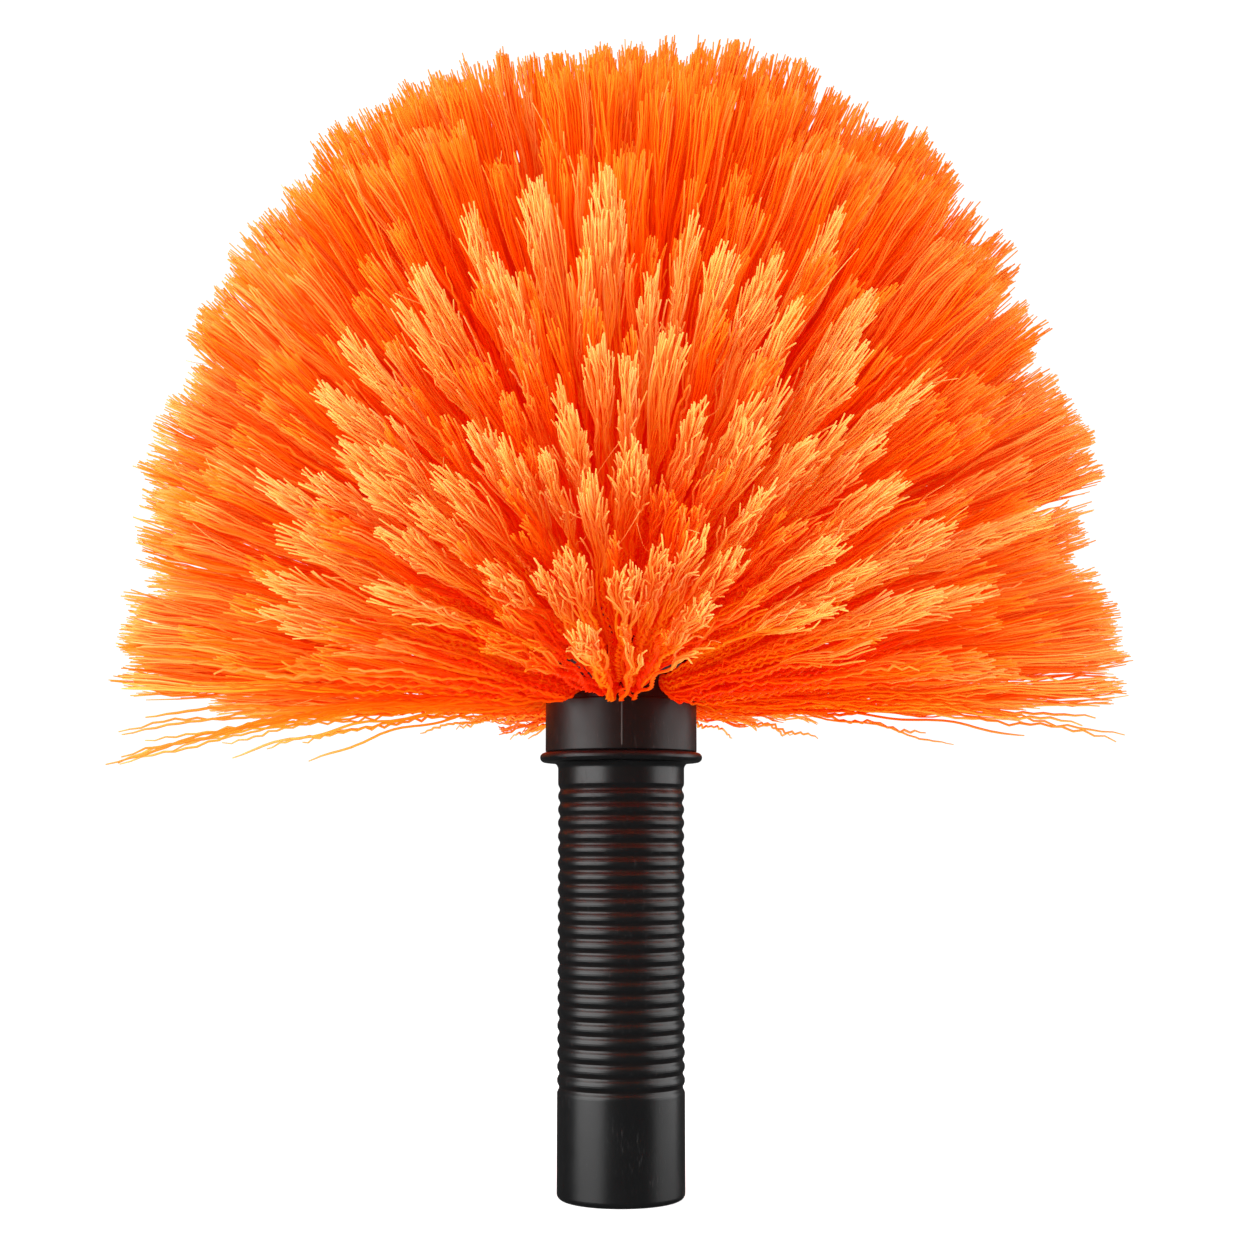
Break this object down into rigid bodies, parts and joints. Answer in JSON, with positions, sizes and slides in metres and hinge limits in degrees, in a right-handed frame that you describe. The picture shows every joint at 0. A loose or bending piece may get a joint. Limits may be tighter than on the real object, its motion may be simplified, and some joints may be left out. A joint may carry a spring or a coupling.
{
  "type": "cobweb brush",
  "caption": "Dome-shaped cobweb brush head: orange bristle tufts set in a black head block above a ribbed, flanged socket that pushes onto an extension pole.",
  "frame": {"origin": "centre of the pole socket's open end, on the end's plane", "axes": "+Z along the socket's axis, from its open end up through the middle of the bristle dome; -Y is the pictured front, where the mould's parting ridge runs"},
  "size_m": [0.237, 0.2349, 0.2701],
  "materials": {
    "socket_plastic": "satin moulded polypropylene, cool black",
    "head_plastic": "matt moulded polypropylene, warm black with fine scuffs",
    "screw_steel": "zinc-plated steel",
    "anchor_wire": "flat steel wire",
    "bristle": "crimped translucent orange filament with split pale tips"
  },
  "bodies": {
    "root": {"handle_socket": "socket_plastic", "head_block": "head_plastic", "fixing_screw": "screw_steel", "screw_washer": "screw_steel", "tuft_anchors": "anchor_wire", "row1_tuft1": "bristle", "row1_tuft2": "bristle", "row1_tuft3": "bristle", "row1_tuft4": "bristle", "row1_tuft5": "bristle", "row1_tuft6": "bristle", "row1_tuft7": "bristle", "row1_tuft8": "bristle", "row1_tuft9": "bristle", "row2_tuft1": "bristle", "row2_tuft2": "bristle", "row2_tuft3": "bristle", "row2_tuft4": "bristle", "row2_tuft5": "bristle", "row2_tuft6": "bristle", "row2_tuft7": "bristle", "row2_tuft8": "bristle", "row2_tuft9": "bristle", "row3_tuft1": "bristle", "row3_tuft2": "bristle", "row3_tuft3": "bristle", "row3_tuft4": "bristle", "row3_tuft5": "bristle", "row3_tuft6": "bristle", "row3_tuft7": "bristle", "row3_tuft8": "bristle", "row3_tuft9": "bristle", "row4_tuft1": "bristle", "row4_tuft2": "bristle", "row4_tuft3": "bristle", "row4_tuft4": "bristle", "row4_tuft5": "bristle", "row4_tuft6": "bristle", "row4_tuft7": "bristle", "row4_tuft8": "bristle", "row4_tuft9": "bristle", "row5_tuft1": "bristle", "row5_tuft2": "bristle", "row5_tuft3": "bristle", "row5_tuft4": "bristle", "row5_tuft5": "bristle", "row5_tuft6": "bristle", "row5_tuft7": "bristle", "row5_tuft8": "bristle", "row5_tuft9": "bristle", "row6_tuft1": "bristle", "row6_tuft2": "bristle", "row6_tuft3": "bristle", "row6_tuft4": "bristle", "row6_tuft5": "bristle", "row6_tuft6": "bristle", "row7_tuft1": "bristle", "row7_tuft2": "bristle", "row7_tuft3": "bristle", "row8_tuft1": "bristle"}
  },
  "joints": []
}
